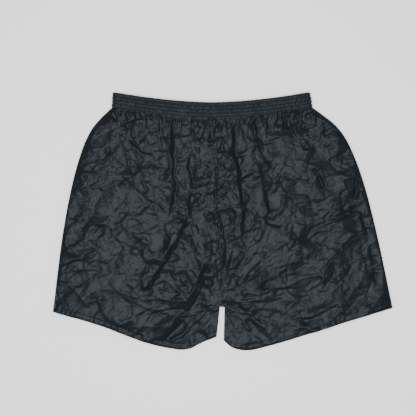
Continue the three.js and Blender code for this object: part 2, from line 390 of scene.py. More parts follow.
def from_crotch(x, y):
    """The angle about the crotch, which jumps in the gap between the legs, and the distance to it."""
    x, y = x - CROTCH[0], y - CROTCH[1]
    along = x * fold_along[0] + y * fold_along[1]
    return np.arctan2(x * fold_across[0] + y * fold_across[1], along), np.hypot(x, y)


def crumple(x, y, gathered, down, strength, start):
    """Creases of many sizes: they run down from the gathers and fan out from the crotch."""
    angle, reach = from_crotch(x, y)
    bend = 9 * noise(x, y, 60, start), 9 * noise(x, y, 60, start + 2)
    xx, yy = x + bend[0], y + bend[1]
    broad = 1.9 * facets(xx * 0.8 + yy * 0.6, yy * 0.8 - xx * 0.6, 40, start + 5)
    fan = 1.5 * facets(angle * 150 + bend[0], reach * 0.36 + bend[1], 17, start + 11)
    fan *= np.clip(reach / 90, 0.25, 1)
    hang = 1.3 * facets(gathered + 0.5 * bend[0], 0.4 * down + bend[1], 13, start + 23)
    below = smooth((down - 40) / 90)
    middle = 0.6 * facets(xx * 0.9 - yy * 0.43, yy * 0.9 + xx * 0.43, 13, start + 31)
    small = 0.25 * facets(xx, yy, 7.5, start + 37)
    crease = 1 - np.abs(noise(angle * 120, reach * 0.6, 22, start + 4)) * 2
    crease = 0.9 * np.maximum(crease, 0) ** 2
    return strength * (broad + hang * (1 - below) + fan * below + middle + small - crease * below)


def gathers(across, down, start):
    """Pleats that fall from the waistband and die away at their own lengths."""
    wide = 1 - 2 * np.abs(noise(across, down * 0.12, 17, start))
    fine = 1 - 2 * np.abs(noise(across, down * 0.2, 7.5, start + 3))
    length = 34 + 26 * noise(across, across * 0, 24, start + 6)
    fade = np.exp(-np.maximum(down, 0) / length)
    return 2.4 * wide * fade + 1.2 * fine * np.exp(-np.maximum(down, 0) / 16)


# ---- Panels: each half's front and back ----

def in_scene(name, data):
    """A new object of the scene, at the origin, unturned and unscaled."""
    made = bpy.data.objects.new(name, data)
    bpy.context.scene.collection.objects.link(made)
    return made


def new_object(name, points, faces, uv=None):
    """A mesh from points and their UVs in millimetres, both turned to metres."""
    mesh = bpy.data.meshes.new(name)
    mesh.from_pydata((np.asarray(points) * MM).tolist(), [], [tuple(f) for f in faces])
    mesh.update()
    if uv is not None:
        layer = mesh.uv_layers.new(name="cloth")
        corners = np.empty(len(mesh.loops), int)
        mesh.loops.foreach_get("vertex_index", corners)
        layer.data.foreach_set("uv", (np.asarray(uv)[corners] * MM).astype(np.float32).ravel())
    mesh.polygons.foreach_set("use_smooth", [True] * len(mesh.polygons))
    return in_scene(name, mesh)


def grid_faces(rows, columns, flip=False):
    """The faces of a grid of points that was written row by row."""
    a = (np.arange(rows - 1)[:, None] * columns + np.arange(columns - 1)[None, :]).ravel()
    quads = np.stack([a, a + 1, a + columns + 1, a + columns], -1)
    return quads[:, ::-1] if flip else quads


def places(side, s, t):
    """Everything about points of a panel that its front and back both use."""
    lay = LAYS[side]
    plan = plan_at(lay, s, t)
    x, y = plan[..., 0], plan[..., 1]
    one = np.ones_like(s)
    wide = np.linalg.norm(plan_at(lay, one, t) - plan_at(lay, 0 * one, t), axis=-1)
    inner, side_length = lay["inner_down"](t), lay["side"].length
    return {
        "half": side,
        "at": (x, y),
        "x": x,
        "y": y,
        "side": (1 - s) * wide,
        "down": (1 - s) * inner + s * t * side_length,
        "hem": (1 - s) * (lay["inner_length"] - inner) + s * (1 - t) * side_length,
        "centre": s * wide,
        "inseam": to_line(x, y, [lay["inner"](np.array([CROTCH_ROW]))[0], lay["foot"]])[0],
        "across": s * WAIST_HALF * SIDES[side],
        "along_hem": s * lay["hem"].length * SIDES[side],
    }


def hem_relief(p):
    """The turned hem: a low roll, a stitched groove above it, and puckers along both."""
    roll = bell(p["hem"], 4.0, 3.0)
    groove = bell(p["hem"], HEM_STITCH_INSET, 1.6)
    pucker = noise(p["along_hem"], p["hem"] * 0.3, 4.2, 9)
    near = smooth(1 - p["hem"] / 24)
    return 0.4 * roll - 0.45 * groove + 0.6 * pucker * near


def seam_relief(p):
    """The centre seam: a groove between two puckered welts, down to the crotch."""
    above = smooth((p["y"] - CROTCH[1] + 4) / 6)
    groove = bell(p["centre"], 0, 2.2)
    outer = bell(p["centre"], 5.6, 1.3)
    welt = bell(p["centre"], 3.4, 2.6)
    pucker = noise(p["down"] + 2 * SIDES[p["half"]], p["centre"] * 0.3, 5.0, 14)
    return above * (-0.3 * groove - 0.4 * outer + (0.4 + 0.9 * pucker) * welt)


def rolled(distance, radius):
    """How far cloth that turns at an edge has risen, from 0 on the edge to 1."""
    short = 1 - np.clip(distance / radius, 0, 1)
    return np.sqrt(np.maximum(1 - short**2, 0))


# ---- Relaxing the crushed cloth ----
# The cloth is longer than the lay it fills, so it buckles. A position-based simulation starts
# from crumple facets and the named folds, and moves every point until the threads come near to
# their own lengths. It has no random draws of its own.

FACES = {
    "front": {"mean": 10.4, "low": 4.4, "high": 16.2, "crumple": 1.0, "spare": 0.002, "gather": 0.08},
    "back": {"mean": 1.9, "low": 0.1, "high": 4.0, "crumple": 0.4, "spare": 0.012, "gather": 0.05},
}
SEEDS = {"front": 1, "back": 40}
RELAXING = [(2, 120, 0.03, 15.0, 0.5), (1, 30, 0.01, 6.0, 0.1)]  # grid step, rounds, bend, crinkle


def lifted(p):
    """The share of its height that the lay has reached, in from the side seam and the inseam."""
    return rolled(p["side"], SIDE_ROLL) * rolled(p["inseam"], INSEAM_ROLL)


def band_level(face):
    """The height at which the shell goes into the waistband."""
    low, high = (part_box("waistband_cover_left")[k].z / MM for k in (0, 1))
    return high - BAND_HALF - 0.6 if face == "front" else low + BAND_HALF


def first_height(p, face):
    """The height that the relaxing starts from."""
    made = FACES[face]
    seed, strength = SEEDS[face], made["crumple"]
    free = made["mean"] + crumple(*p["at"], p["across"], p["down"], strength, seed)
    free = free + strength * gathers(p["across"], p["down"], seed + 1)
    if face == "front":
        free = curl_relief(p, free + p["folded"])
    band = band_level(face)
    free = band + (free - band) * smooth(p["down"] / 7)
    return SEAM_LEVEL + (free - SEAM_LEVEL) * lifted(p)


def crease_direction(p):
    """The way creases run: down from the waistband, and out from the crotch in uneven fans."""
    fan = np.arctan2(p["y"] - CROTCH[1], p["x"] - CROTCH[0])
    fan = fan + 1.1 * noise(*p["at"], 52, 17) + 0.5 * noise(*p["at"], 21, 19)
    return fan, smooth(1 - (p["down"] - 18) / 60)


def spare_cloth(p, face):
    """The cloth's extra length, as the parts of a metric: xx, xy and yy."""
    fan, hanging = crease_direction(p)
    patch = np.clip(1 + 0.9 * noise(*p["at"], 38, SEEDS[face] + 8), 0.5, 2.0)
    spare = FACES[face]["spare"] * patch * (1 - pocket(*p["at"], face))
    even, across = spare * 0.5, spare * 1.5 * (1 - hanging)
    across_x, across_y = -np.sin(fan), np.cos(fan)
    gather = spare * hanging + FACES[face]["gather"] * np.exp(-p["down"] / 26)
    xx = 1 + 2 * (even + across * across_x**2 + gather)
    xy = 2 * across * across_x * across_y
    yy = 1 + 2 * (even + across * across_y**2)
    return xx, xy, yy


# Near the crotch each leg's front hem has rolled up and away, and the smooth cloth below shows.
HEM_CURLS = [
    [(-115, -221), (-98, -219), (-77, -212), (-58, -192), (-37, -173), (-13, -164), (-2, -162)],
    [(8, -160), (22, -166), (32, -177), (42, -196), (56, -207), (68, -216), (85, -230)],
]


TUCKS = [
    ([(-46, -172), (-36, -200), (-28, -234)], 7.0, 4.5, 0.4),
    ([(-17, -163), (-19, -190), (-15, -230)], 3.5, 2.4, 0.5),
    ([(8, -164), (20, -190), (24, -222)], 3.0, 1.2, 0.4),
    ([(30, -178), (42, -206), (62, -222)], 3.0, 1.4, -0.4),
    ([(-66, -204), (-60, -232)], 3.0, 1.8, 0.4),
]


def curl_gap(x, y):
    """Distance past the nearer hem curl, positive on its crotch and hem side."""
    best, past = np.full(x.shape, 1e9), np.zeros(x.shape)
    for line in HEM_CURLS:
        gap, hand, _ = to_line(x, y, line)
        past = np.where(gap < best, -gap * hand, past)
        best = np.minimum(gap, best)
    return past


def pocket(x, y, face):
    """1 in the low smooth cloth below a hem curl, 0 outside it."""
    if face == "back":
        return np.zeros(x.shape)
    return smooth((curl_gap(x, y) - 0.5) / 3.0) * smooth((CROTCH[1] - 1 - y) / 6)


def curl_relief(p, free):
    """Drops the cloth below each hem curl, and raises the rolled edge and the dip beside it."""
    x, y = p["x"] + 1.2 * noise(*p["at"], 14, 51), p["y"] + 1.2 * noise(*p["at"], 14, 53)
    past = curl_gap(x, y)
    below = smooth((CROTCH[1] + 6 - y) / 8)
    roll = 3.4 * bell(past, -2.2, 2.2) * below
    dip = 1.5 * bell(past, -11.5, 6.0) * smooth((CROTCH[1] + 24 - y) / 30)
    sunk = pocket(x, y, "front")
    soft = 6.8 + 0.8 * facets(x, y, 13, 55) + 0.4 * facets(x, y * 0.4, 7, 57) + p["tucked"]
    return (free + roll - dip) * (1 - sunk) + soft * sunk


def pairs(shape):
    """Slices of neighbours that share no point, for threads and for the cloth's bias."""
    for first in (0, 1):
        count = (shape[1] - first) // 2
        yield np.s_[:, first : first + 2 * count : 2], np.s_[:, first + 1 : first + 2 * count : 2]
        count = (shape[0] - first) // 2
        here, below = slice(first, first + 2 * count, 2), slice(first + 1, first + 2 * count, 2)
        yield (here, slice(None)), (below, slice(None))
        yield (here, slice(None, -1)), (below, slice(1, None))
        yield (here, slice(1, None)), (below, slice(None, -1))


def relax(sheets, face, rounds, bend):
    """Moves both halves' points together until the cloth has its own lengths."""
    for sheet in sheets.values():
        p, flat = sheet["p"], sheet["flat"]
        xx, xy, yy = spare_cloth(p, face)
        tuck = pocket(*p["at"], face)
        named = p["folded"] * (1 - tuck) + p["tucked"] * tuck
        sheet["threads"] = []
        for a, b in pairs(flat[0].shape):
            dx, dy = flat[0][b] - flat[0][a], flat[1][b] - flat[1][a]
            length = xx[a] * dx**2 + 2 * xy[a] * dx * dy + yy[a] * dy**2
            length = np.sqrt(length + (named[b] - named[a]) ** 2)
            sheet["threads"].append((a, b, length.astype(np.float32)))
        rise = lifted(p)
        high = np.full(rise.shape, FACES[face]["high"])
        if face == "front":
            folded = np.minimum(p["folded"], 0)
            high = np.where(folded < -0.8, FACES[face]["mean"] + 0.8 + folded, high)
            tucked = np.minimum(p["tucked"], 0)
            high = high + (8.2 + tucked - high) * pocket(*p["at"], face)
        sheet["low"] = SEAM_LEVEL + (FACES[face]["low"] - SEAM_LEVEL) * rise
        sheet["high"] = np.maximum(SEAM_LEVEL + (high - SEAM_LEVEL) * rise, sheet["low"] + 0.4)
        sheet["pins"] = [layer.copy() for layer in sheet["points"]]
    crotch = int(round((sheet["p"]["x"].shape[0] - 1) * CROTCH_ROW))
    for _ in range(rounds):
        for sheet in sheets.values():
            x, y, z = sheet["points"]
            for a, b, rest in sheet["threads"]:
                dx, dy, dz = x[b] - x[a], y[b] - y[a], z[b] - z[a]
                length = np.sqrt(dx * dx + dy * dy + dz * dz)
                pull = 0.5 * (length - rest) / length
                for layer, d in ((x, dx), (y, dy), (z, dz)):
                    d *= pull
                    layer[a] += d
                    layer[b] -= d
            inside = z[1:-1, 1:-1]
            around = z[:-2, 1:-1] + z[2:, 1:-1] + z[1:-1, :-2] + z[1:-1, 2:]
            inside += bend * (around / 4 - inside) + 0.001 * (FACES[face]["mean"] - inside)
            np.clip(z, sheet["low"], sheet["high"], out=z)
            for layer, pin in zip(sheet["points"], sheet["pins"]):
                layer[0], layer[:, -1], layer[crotch:, 0] = pin[0], pin[:, -1], pin[crotch:, 0]
            for layer, pin in zip((x, y), sheet["pins"]):
                layer[:, 0], layer[-1] = pin[:, 0], pin[-1]
        left, right = (sheets[side]["points"][2] for side in SIDES)
        left[:crotch, 0] = right[:crotch, 0] = (left[:crotch, 0] + right[:crotch, 0]) / 2


def panel_grid(step):
    s = np.linspace(0, 1, PANEL_ACROSS // step + 1)
    t = np.linspace(0, 1, PANEL_DOWN // step + 1)
    return np.meshgrid(s, t)


def finer(coarse):
    """A grid with a point added between each two."""
    rows, columns = coarse.shape
    fine = np.empty((2 * rows - 1, 2 * columns - 1), np.float32)
    fine[::2, ::2] = coarse
    fine[::2, 1::2] = (coarse[:, 1:] + coarse[:, :-1]) / 2
    fine[1::2] = (fine[2::2] + fine[:-1:2]) / 2
    return fine


def pressed_facets(p):
    """Small flat facets with sharp edges, which nylon keeps after it has been crushed in a bag."""
    x, y = p["at"]
    angle, reach = from_crotch(x, y)
    below = smooth((p["down"] - 30) / 70)
    strength = np.clip(1 + 0.6 * noise(x, y, 45, 71), 0.4, 1.6)
    fan = 1.9 * facets(angle * 130, reach * 0.4, 15, 11, 0.4) * np.clip(reach / 80, 0.2, 1) * below
    tilted = 1.3 * facets(0.5 * (0.9 * x + 0.44 * y), 0.9 * y - 0.44 * x, 17, 3, 0.4)
    crossed = 0.8 * facets(0.6 * x - 0.8 * y, 0.6 * (0.6 * y + 0.8 * x), 10, 29, 0.6)
    centre = bell(x, -10, 85) * smooth((y + 70) / 70)
    fine = (0.25 + 0.4 * centre) * facets(x, 0.75 * y, 6.0, 43, 1.0)
    long = 0.28 * facets(x + 0.3 * y, 1.4 * y - 0.3 * x, 30, 53, 4.0)
    return fan + strength * (tilted + crossed + fine) + long


def crushed(face):
    """Both halves of the front or the back, relaxed on a grid of every second point and then on all."""
    sheets = {}
    for step, rounds, bend, crinkle_size, crinkle_height in RELAXING:
        for side in SIDES:
            p = places(side, *panel_grid(step))
            for key, made in (("folded", FRONT_FOLDS), ("tucked", TUCKS)):
                p[key] = folds(*p["at"], made if face == "front" else [])
            flat = [p[k].astype(np.float32) for k in "xy"]
            if side not in sheets:
                points = [layer.copy() for layer in flat]
                points.append(first_height(p, face).astype(np.float32))
            else:
                last = sheets[side]
                points = [a + finer(b - c) for a, b, c in zip(flat, last["points"], last["flat"])]
                points.append(finer(last["points"][2]))
            crinkle = facets(*p["at"], crinkle_size, SEEDS[face] + 37) * lifted(p)
            height = crinkle_height * FACES[face]["crumple"]
            calm = smooth(p["down"] / 7) * (1 - pocket(*p["at"], face))
            points[2] += (height * crinkle * calm).astype(np.float32)
            sheets[side] = {"p": p, "flat": flat, "points": points}
        relax(sheets, face, rounds, bend)
    for sheet in sheets.values():
        p, points = sheet["p"], sheet["points"]
        pressed = 0.95 * pressed_facets(p) * FACES[face]["crumple"]
        pressed *= 1 - 0.5 * pocket(*p["at"], face)
        points[2] += (pressed * lifted(p) * smooth(p["down"] / 12)).astype(np.float32)
        sewn = hem_relief(p) + seam_relief(p) * (1 if face == "front" else -0.3)
        points[2] += (sewn * lifted(p) * (1 if face == "front" else 0.4)).astype(np.float32)
        np.clip(points[2], sheet["low"], sheet["high"] + 0.6, out=points[2])
    return {side: np.stack(sheet["points"], -1) for side, sheet in sheets.items()}


def surface(side, face, s, t):
    """Points on a panel's face at shares across and down it."""
    s, t = np.broadcast_arrays(np.asarray(s, float), np.asarray(t, float))
    i, j = np.clip(t, 0, 1) * PANEL_DOWN, np.clip(s, 0, 1) * PANEL_ACROSS
    a = np.minimum(i.astype(int), PANEL_DOWN - 1)
    b = np.minimum(j.astype(int), PANEL_ACROSS - 1)
    down, across = (i - a)[..., None], (j - b)[..., None]
    return between(LAID[face][side], (a, a + 1), (b, b + 1), down, across)


def panel(side, name, face, inward):
    """One panel with its turned hem, which lies on the side of the cloth that inward gives."""
    p = places(side, *panel_grid(1))
    turn = int(round(HEM_TURN / (p["down"][-1].mean() / PANEL_DOWN)))
    folded = np.arange(PANEL_DOWN - 1, PANEL_DOWN - 1 - turn, -1)
    rows = np.concatenate([[0], np.arange(PANEL_DOWN + 1), folded])
    points = LAID[face][side][rows].astype(float)
    points[0, :, 1] += TUCKED_IN
    points[-turn:, :, 2] += HEM_LAYER * inward
    down = p["down"][rows]
    down[-turn:] = 2 * p["down"][-1] - down[-turn:]
    across = p["across"][rows] * CLOTH_TO_WAIST
    faces = grid_faces(*across.shape, (SIDES[side] > 0) == (inward < 0))
    return new_object(name, points.reshape(-1, 3), faces, np.stack([across, -down], -1).reshape(-1, 2))


# ---- Waistband ----

cover_low, cover_high = (np.array(c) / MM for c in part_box("waistband_cover_left"))
cover_level = {"front": cover_high[2] - BAND_HALF, "back": cover_low[2] + BAND_HALF}
BAND_TURN = (cover_level["front"] - cover_level["back"]) / 2
BAND_HEIGHT = cover_high[1] - LAYS["left"]["waist"](np.ones(1))[0][1]
LAID = {face: crushed(face) for face in FACES}
for side in SIDES:
    front, back = LAID["front"][side], LAID["back"][side]
    room = LEAST_GAP * lifted(places(side, *panel_grid(1)))
    front[..., 2] = np.maximum(front[..., 2], back[..., 2] + room)


def band_path(side, share):
    """Half of the waistband's loop: half width short of the ends, level and outward normal."""
    ends = LAYS[side]["waist"](np.ones(1))[0]
    half = SIDES[side] * (ends[0] - fold_x(ends[1]))
    run = half - BAND_TURN - BAND_HALF
    arc = math.pi * BAND_TURN
    along = share * (2 * run + arc)
    angle = np.clip((along - run) / BAND_TURN, 0, math.pi)
    w = np.where(along < run, along, np.where(along > run + arc, 2 * run + arc - along, run))
    out = np.sin(angle)
    level = cover_level["back"] + BAND_TURN * (1 + np.cos(angle))
    return w + BAND_TURN * out, level, out, np.cos(angle), along, half


def band_points(side, share, height, outwards):
    """Points of the waistband at a share of its half loop, a height and a distance outwards."""
    w, level, nw, nz, _, half = band_path(side, share)
    taper = 1 - BAND_TAPER / half * height / BAND_HEIGHT
    foot = LAYS[side]["waist"](np.clip(w / half, 0, 1))[..., 1]
    y = foot + height
    x = fold_x(y) + SIDES[side] * (w + nw * outwards) * taper
    return np.stack([x, y, level + nz * outwards], -1)


def band_relief(along, height):
    """Puffed channels between the rows of stitching, each with fine puckers."""
    channel = np.clip((height - ROW_FOOT) / ROW_PITCH, -0.35, ROWS)
    part = channel - np.floor(channel)
    puff = np.sin(math.pi * part) ** 0.6
    number = np.floor(channel)
    ribs = noise(along, number * 1.9 + 0.35 * part, RIB_PITCH * 0.6, 21)
    loose = noise(along, height, 15, 27)
    return -0.5 + puff * (1.15 + 0.5 * ribs + 0.3 * loose) + 0.2 * ribs


def band_cover(side):
    """The cover: in at the foot, up the outside, over the elastic's top and down the inside."""
    crown = BAND_HEIGHT - BAND_HALF
    up = np.linspace(1.2, crown, 46)
    bend = np.linspace(0, math.pi, 9)[1:-1]
    foot = np.array([1.6, 0.2, 0.1, 0.5])
    height = np.concatenate([foot, up, crown + np.sin(bend) * BAND_HALF, up[::-1], foot[::-1]])
    foot_out = np.array([0.05, 0.2, 0.6, 0.9])
    face = np.concatenate([foot_out, up * 0 + 1, np.cos(bend), up * 0 - 1, -foot_out[::-1]])
    share, height = np.meshgrid(np.linspace(0, 1, 760), height, indexing="ij")
    along = band_path(side, share)[4] * SIDES[side]
    relief = band_relief(along, height) * np.clip(np.abs(face) * 1.5 - 0.5, 0, 1)
    outward = face * BAND_HALF + np.sign(face) * relief * np.where(face > 0, 1, 0.5)
    points = band_points(side, share, height, outward)
    points[..., 2] = np.maximum(points[..., 2], 0.02)
    wrap = np.arange(share.shape[1]) * BAND_HEIGHT / len(up)
    cloth = np.stack([along, np.broadcast_to(wrap, along.shape)], -1)
    faces = grid_faces(*share.shape, SIDES[side] < 0)
    return new_object(f"band_cover_{side}", points.reshape(-1, 3), faces, cloth.reshape(-1, 2))


def ring_faces(stations, around):
    """The faces of a closed tube whose sections were written one after another, with its ends."""
    a = np.arange(stations - 1)[:, None] * around + np.arange(around)[None, :]
    b = np.arange(stations - 1)[:, None] * around + (np.arange(around) + 1)[None, :] % around
    walls = np.stack([a, b, b + around, a + around], -1).reshape(-1, 4)
    last = (stations - 1) * around
    return walls.tolist() + [list(range(around))[::-1], list(range(last, last + around))]


def band_elastic(side):
    """Ribbed webbing inside the cover, through its whole half loop."""
    height = np.linspace(ELASTIC_FOOT, ELASTIC_TOP, 48)
    cords = 0.55 + 0.16 * np.cos(height * 2 * math.pi / ELASTIC_CORD)
    height, outward = np.concatenate([height, height[::-1]]), np.concatenate([cords, -cords])
    share, height = np.meshgrid(np.linspace(0, 1, 300), height, indexing="ij")
    points = band_points(side, share, height, np.broadcast_to(outward, share.shape))
    faces = ring_faces(*share.shape)
    piece = new_object(f"waist_elastic_webbing_{side}", points.reshape(-1, 3), faces)
    return outward_facing(piece)


def outward_facing(piece):
    """Turns a closed piece's faces so that they all point out."""
    made = bmesh.new()
    made.from_mesh(piece.data)
    bmesh.ops.recalc_face_normals(made, faces=made.faces)
    made.to_mesh(piece.data)
    made.free()
    return piece


# ---- Seams: the allowances inside the shell ----

SEAM_ALLOWANCE = 8.0
SEAM_LAYERS = 0.7  # two thicknesses of nylon and the overlock thread between
SEAM_SUNK = 1.6  # from the shell's face to the middle of a pressed centre seam
SEAM_EDGE_SUNK = 3.0
OVERLOCK_RISE = 0.4  # from the allowance's middle to the thread over its edge


def strip(name, first_edge, second_edge):
    """A flat strip between two edges, as thick as the seam's layers."""
    share = np.concatenate([np.linspace(0, 1, 6), np.linspace(1, 0, 6)])[:, None]
    lift = np.repeat([0.5, -0.5], 6) * SEAM_LAYERS
    points = first_edge[:, None] * (1 - share) + second_edge[:, None] * share
    points[..., 2] += lift
    return outward_facing(new_object(name, points.reshape(-1, 3), ring_faces(*points.shape[:2])))


def share_from_edge(side, t, distance, edge):
    """The share across a panel that lies a distance in from its side (1) or its centre (0)."""
    p = places(side, np.full(t.shape, float(edge)), t)
    return np.abs(edge - distance / (p["centre"] if edge else p["side"]))


def edge_seam(side, name, edge, start):
    """The allowance inside a side seam or an inseam, and its overlocked edge."""
    t = np.linspace(start, 1, 150)
    edges = []
    for distance in (0.6, SEAM_ALLOWANCE):
        s = share_from_edge(side, t, distance, edge)
        edges.append((surface(side, "front", s, t) + surface(side, "back", s, t)) / 2)
    return strip(name, *edges), edges[1]


def centre_seam(name, face, inward, end):
    """The allowance of a centre seam, pressed open against the shell's inside."""
    t = np.linspace(0.01, end, 150)
    edges = []
    for side in SIDES:
        s = share_from_edge(side, t, SEAM_ALLOWANCE, 0)
        edges.append(surface(side, face, s, t) + [0, 0, SEAM_EDGE_SUNK * inward])
    middle = (edges[0] + edges[1]) / 2
    middle[:, 2] = surface("left", face, 0.0, t)[:, 2] + SEAM_SUNK * inward
    for edge in edges:
        keep = np.minimum if inward < 0 else np.maximum
        edge[:, 2] = keep(edge[:, 2], middle[:, 2])
    return strip(name, *edges)


# ---- Stitching ----

def stitch_tree():
    """Short filled threads along a path, each lying along it or turned across it."""
    tree = bpy.data.node_groups.new("stitches_along_path", "GeometryNodeTree")
    kinds = {"Path": "Geometry", "Seed": "Int", "Thread": "Material"}
    for label in ("Path", "Pitch", "Length", "Width", "Height", "Turn", "Looseness", "Seed", "Thread"):
        kind = "NodeSocket" + kinds.get(label, "Float")
        tree.interface.new_socket(label, in_out="INPUT", socket_type=kind)
    tree.interface.new_socket("Stitches", in_out="OUTPUT", socket_type="NodeSocketGeometry")
    given = node(tree, "NodeGroupInput")
    curve = node(tree, "GeometryNodeMeshToCurve", Mesh=given["Path"])
    by_length = {"mode": "LENGTH"}
    along = node(tree, "GeometryNodeCurveToPoints", by_length, Curve=curve[0], Length=given["Pitch"])
    up = node(tree, "GeometryNodeInputNamedAttribute", {"data_type": "FLOAT_VECTOR"}, Name="up")
    align = "FunctionNodeAlignRotationToVector"
    laid = node(tree, align, {"axis": "X"}, Vector=along["Tangent"])
    faced = node(tree, align, {"axis": "Z", "pivot_axis": "X"}, Rotation=laid[0], Vector=up[0])
    least = node(tree, "ShaderNodeMath", {"operation": "MULTIPLY"}, _0=given["Looseness"], _1=-1.0)
    most, seed = given["Looseness"], given["Seed"]
    loose = node(tree, "FunctionNodeRandomValue", {"data_type": "FLOAT"}, _2=least[0], _3=most, Seed=seed)
    angle = node(tree, "ShaderNodeMath", {"operation": "ADD"}, _0=given["Turn"], _1=loose[1])
    spin = node(tree, "FunctionNodeAxisAngleToRotation", Axis=(0, 0, 1), Angle=angle[0])
    local = {"rotation_space": "LOCAL"}
    turned = node(tree, "FunctionNodeRotateRotation", local, _0=faced[0], _1=spin[0])
    thread = node(tree, "GeometryNodeMeshUVSphere", Segments=6, Rings=5, Radius=0.5)
    size = node(tree, "ShaderNodeCombineXYZ", X=given["Length"], Y=given["Width"], Z=given["Height"])
    spots, one = along["Points"], thread["Mesh"]
    laying = {"Points": spots, "Instance": one, "Rotation": turned[0], "Scale": size[0]}
    placed = node(tree, "GeometryNodeInstanceOnPoints", **laying)
    real = node(tree, "GeometryNodeRealizeInstances", Geometry=placed[0])
    done = node(tree, "GeometryNodeSetMaterial", Geometry=real[0], Material=given["Thread"])
    node(tree, "NodeGroupOutput", _0=done[0])
    return tree


def stitches(name, replaced, paths, ups, **sizes):
    """A finished piece of stitching along paths; sizes are the tree's inputs, in mm or radians."""
    points, edges, facing = [], [], []
    for path, up in zip(paths, ups):
        first = len(points)
        points += path.tolist()
        facing += np.broadcast_to(up, path.shape).tolist()
        edges += [(i, i + 1) for i in range(first, len(points) - 1)]
    mesh = bpy.data.meshes.new(name)
    mesh.from_pydata((np.array(points) * MM).tolist(), edges, [])
    layer = mesh.attributes.new("up", "FLOAT_VECTOR", "POINT")
    layer.data.foreach_set("vector", np.array(facing, np.float32).ravel())
    path_piece = in_scene(name + "_path", mesh)
    given = {"Pitch": STITCH_PITCH, "Length": STITCH_LENGTH, "Width": STITCH_WIDTH}
    given |= {"Height": STITCH_WIDTH, **sizes}
    for label in ("Pitch", "Length", "Width", "Height"):
        given[label] *= MM
    given |= {"Thread": polyester_thread, "Seed": 5}
    modifier = path_piece.modifiers.new("stitches", "NODES")
    modifier.node_group = STITCH_TREE
    for item in STITCH_TREE.interface.items_tree:
        if item.in_out == "INPUT" and item.name in given:
            modifier[item.identifier] = given[item.name]
    graph = bpy.context.evaluated_depsgraph_get()
    made = bpy.data.meshes.new_from_object(path_piece.evaluated_get(graph), depsgraph=graph)
    bpy.data.objects.remove(path_piece)
    made.polygons.foreach_set("use_smooth", [True] * len(made.polygons))
    finish_piece(in_scene(name, made), polyester_thread, "sewing_thread", *replaced)


# ---- Materials ----

def srgb(code):
    """An sRGB hex colour as linear RGBA."""
    parts = [int(code[i : i + 2], 16) / 255 for i in (1, 3, 5)]
    return tuple(c / 12.92 if c <= 0.04045 else ((c + 0.055) / 1.055) ** 2.4 for c in parts) + (1.0,)


def node(tree, kind, settings=(), **inputs):
    """Adds a node and gives its outputs; settings are its properties, and an input, by its name or
    as _number, is a value or a socket."""
    made = tree.nodes.new(kind)
    for key, value in dict(settings).items():
        setattr(made, key, value)
    for key, value in inputs.items():
        name = key.replace("_", " ").strip()
        socket = made.inputs[int(name) if name.isdigit() else name]
        if isinstance(value, bpy.types.NodeSocket):
            tree.links.new(value, socket)
        else:
            socket.default_value = value
    return made.outputs


def textile(name, dark, light, patch, detail, surface_bump, **gloss):
    """A cloth or thread whose colour varies in patches, in millimetres, under a bump of its own."""
    material = bpy.data.materials.new(name)
    material.use_nodes = True
    tree = material.node_tree
    tree.nodes.clear()
    place = node(tree, "ShaderNodeTexCoord")["Object"]
    patches = node(tree, "ShaderNodeTexNoise", Vector=place, Scale=1 / (patch * MM), Detail=detail)["Fac"]
    colour = node(tree, "ShaderNodeMix", {"data_type": "RGBA"}, _0=patches, _6=dark, _7=light)[2]
    normal = surface_bump(tree, place, patches)
    shader = node(tree, "ShaderNodeBsdfPrincipled", Base_Color=colour, Normal=normal, **gloss)
    node(tree, "ShaderNodeOutputMaterial", Surface=shader[0])
    return material


DYE_PATCH = 38.46  # slow changes of the dye, from one handful of cloth to the next
CRINKLE = 3.03  # finest crinkles of crushed nylon, too small for the mesh
THREAD = 0.55  # the real weave has a thread each 0.15 mm, too fine to show, so it is drawn coarser


def crinkled_weave(tree, place, _):
    crinkle = node(tree, "ShaderNodeTexNoise", Vector=place, Scale=1 / (CRINKLE * MM), Detail=3.0)["Fac"]
    crinkled = node(tree, "ShaderNodeBump", Strength=0.22, Distance=0.0006, Height=crinkle)[0]
    cloth = node(tree, "ShaderNodeUVMap", {"uv_map": "cloth"})["UV"]
    weave = node(tree, "ShaderNodeTexChecker", Vector=cloth, Scale=1 / (THREAD * MM))["Fac"]
    return node(tree, "ShaderNodeBump", Strength=0.12, Distance=0.0001, Height=weave, Normal=crinkled)[0]


def satin_nylon(name, dark, light, roughness, specular):
    """Nylon woven plain and pressed between hot rollers: a soft cool gloss on each facet, and a
    faint sheen where the cloth turns away."""
    return textile(
        name,
        srgb(dark),
        srgb(light),
        DYE_PATCH,
        5.0,
        crinkled_weave,
        Roughness=roughness,
        Specular_IOR_Level=specular,
        Specular_Tint=srgb("#dcebf8"),
        Sheen_Weight=0.12,
        Sheen_Roughness=0.4,
    )


def matt_yarn(name, code, roughness, grain, bump):
    """Yarn with a grain of its own, in millimetres, which breaks up its light in tiny specks."""

    def fuzzy(tree, _, fuzz):
        return node(tree, "ShaderNodeBump", Strength=bump, Distance=0.0002, Height=fuzz)[0]

    dark, light = (tuple(share * c for c in srgb(code)[:3]) + (1.0,) for share in (0.75, 1.25))
    return textile(name, dark, light, grain, 2.0, fuzzy, Roughness=roughness)


# Pressed smooth, so that each facet of the crumple is light or dark as a whole.
shell_nylon = satin_nylon("satin_nylon_shell", "#0c0f12", "#14181c", 0.42, 0.12)
# The same cloth bunched up over the elastic, where its fine puckers spread the gloss.
band_nylon = satin_nylon("satin_nylon_waistband", "#090c0f", "#101417", 0.55, 0.2)
# The cloth's wrong side, which wasn't pressed, so it is matt.
seam_nylon = matt_yarn("woven_nylon_seam_allowance", "#101418", 0.6, 1.111, 0.4)
# Spun from short fibres: a little lighter than the cloth, so that the rows just show.
polyester_thread = matt_yarn("spun_polyester_thread", "#1b2126", 0.5, 0.667, 0.5)
